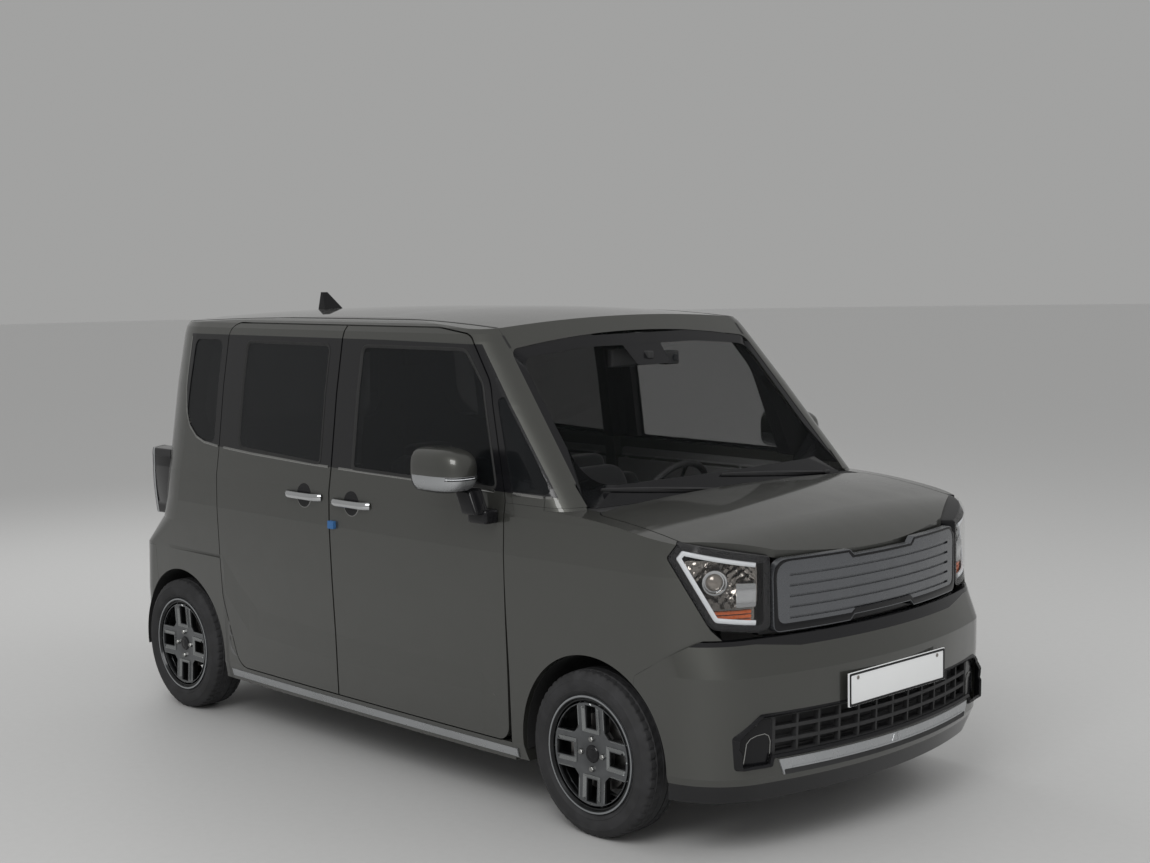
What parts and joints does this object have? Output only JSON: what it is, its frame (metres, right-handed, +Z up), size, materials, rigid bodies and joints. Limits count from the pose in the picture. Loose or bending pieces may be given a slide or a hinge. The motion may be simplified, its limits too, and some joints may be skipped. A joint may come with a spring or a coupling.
{
  "type": "kei car",
  "caption": "Tall boxy one-box mini car, left-hand drive, with hinged doors, hood, tailgate, steering and rolling wheels.",
  "frame": {"origin": "on the ground under the middle of the car's bounding box", "axes": "+X towards the front, +Y towards the left side, +Z up"},
  "size_m": [3.5948, 1.97, 1.7629],
  "materials": {
    "paint": "satin",
    "side_glass": "gloss",
    "screen_glass": "gloss",
    "bright": "gloss",
    "gloss_black": "gloss",
    "tyre": "matte",
    "alloy": "satin",
    "iron": "matte",
    "lamp_dark": "gloss",
    "matt_black": "matte",
    "satin_silver": "satin",
    "lamp_clear": "gloss",
    "plate_white": "satin",
    "underbody": "matte",
    "steel": "satin",
    "cloth": "matte"
  },
  "bodies": {
    "body": {"body_side_left": "paint", "front_fender_left": "paint", "body_side_right": "paint", "front_fender_right": "paint", "door_rear_right": "paint", "door_glass_rear_right": "side_glass", "door_handle_rear_right": "bright", "tail_lights": "lamp_dark", "fixed_side_glasses": "side_glass", "windscreen": "screen_glass", "wipers": "matt_black", "roof_panel": "paint", "antenna_fin": "gloss_black", "front_bumper": "paint", "front_skid_plate": "satin_silver", "lower_grille": "matt_black", "front_panel": "satin_silver", "headlights": "lamp_clear", "front_carrier": "matt_black", "front_plate": "plate_white", "rear_bumper": "paint", "floor_pan": "underbody", "firewall_cowl": "matt_black", "front_suspension": "iron", "rear_axle": "iron", "engine_block": "alloy", "radiator": "alloy", "exhaust": "steel", "fuel_tank": "matt_black", "front_seats": "cloth", "rear_seat": "cloth", "dashboard": "matt_black", "interior_mirror": "matt_black"},
    "door_front_left": {"door_front_left": "paint", "door_glass_front_left": "side_glass", "door_handle_front_left": "bright", "door_mirror_left": "gloss_black"},
    "door_front_right": {"door_front_right": "paint", "door_glass_front_right": "side_glass", "door_handle_front_right": "bright", "door_mirror_right": "gloss_black"},
    "door_rear_left": {"door_rear_left": "paint", "door_glass_rear_left": "side_glass", "door_handle_rear_left": "bright"},
    "hood": {"hood": "paint"},
    "tailgate": {"tailgate": "paint", "tailgate_glass": "side_glass"},
    "knuckle_left": {"front_knuckle_left": "iron"},
    "knuckle_right": {"front_knuckle_right": "iron"},
    "wheel_front_left": {"tyre_front_left": "tyre", "rim_front_left": "alloy"},
    "wheel_front_right": {"tyre_front_right": "tyre", "rim_front_right": "alloy"},
    "wheel_rear_left": {"tyre_rear_left": "tyre", "rim_rear_left": "alloy"},
    "wheel_rear_right": {"tyre_rear_right": "tyre", "rim_rear_right": "alloy"},
    "steering_wheel": {"steering_wheel": "matt_black"}
  },
  "joints": [
    {"name": "steer_left", "type": "hinge", "parent": "body", "child": "knuckle_left", "pos_m": [1.1325, 0.64, 0.277], "axis": [0, 0, 1], "range_deg": [-33, 33]},
    {"name": "roll_front_left", "type": "hinge", "parent": "knuckle_left", "child": "wheel_front_left", "pos_m": [1.1325, 0.7, 0.277], "axis": [0, 1, 0], "continuous": true},
    {"name": "roll_rear_left", "type": "hinge", "parent": "body", "child": "wheel_rear_left", "pos_m": [-1.3875, 0.7, 0.277], "axis": [0, 1, 0], "continuous": true},
    {"name": "steer_right", "type": "hinge", "parent": "body", "child": "knuckle_right", "pos_m": [1.1325, -0.64, 0.277], "axis": [0, 0, 1], "range_deg": [-33, 33]},
    {"name": "roll_front_right", "type": "hinge", "parent": "knuckle_right", "child": "wheel_front_right", "pos_m": [1.1325, -0.7, 0.277], "axis": [0, 1, 0], "continuous": true},
    {"name": "roll_rear_right", "type": "hinge", "parent": "body", "child": "wheel_rear_right", "pos_m": [-1.3875, -0.7, 0.277], "axis": [0, 1, 0], "continuous": true},
    {"name": "steering_wheel_turn", "type": "hinge", "parent": "body", "child": "steering_wheel", "pos_m": [0.425, 0.37, 0.925], "axis": [-0.8829, 0, 0.4695], "range_deg": [-500, 500]},
    {"name": "door_front_left_open", "type": "hinge", "parent": "body", "child": "door_front_left", "pos_m": [0.75, 0.793, 0.9], "axis": [0, 0, -1], "range_deg": [0, 70]},
    {"name": "door_front_right_open", "type": "hinge", "parent": "body", "child": "door_front_right", "pos_m": [0.75, -0.793, 0.9], "axis": [0, 0, 1], "range_deg": [0, 88]},
    {"name": "door_rear_left_open", "type": "hinge", "parent": "body", "child": "door_rear_left", "pos_m": [-0.25, 0.798, 0.9], "axis": [0, 0, -1], "range_deg": [0, 68]},
    {"name": "hood_open", "type": "hinge", "parent": "body", "child": "hood", "pos_m": [1.108, 0, 1.092], "axis": [0, -1, 0], "range_deg": [0, 55]},
    {"name": "tailgate_open", "type": "hinge", "parent": "body", "child": "tailgate", "pos_m": [-1.5425, 0, 1.684], "axis": [0, 1, 0], "range_deg": [0, 85]}
  ],
  "couplings": [
    {"joint": "steer_right", "follows": "steer_left", "ratio": 1},
    {"joint": "steering_wheel_turn", "follows": "steer_left", "ratio": 15}
  ]
}
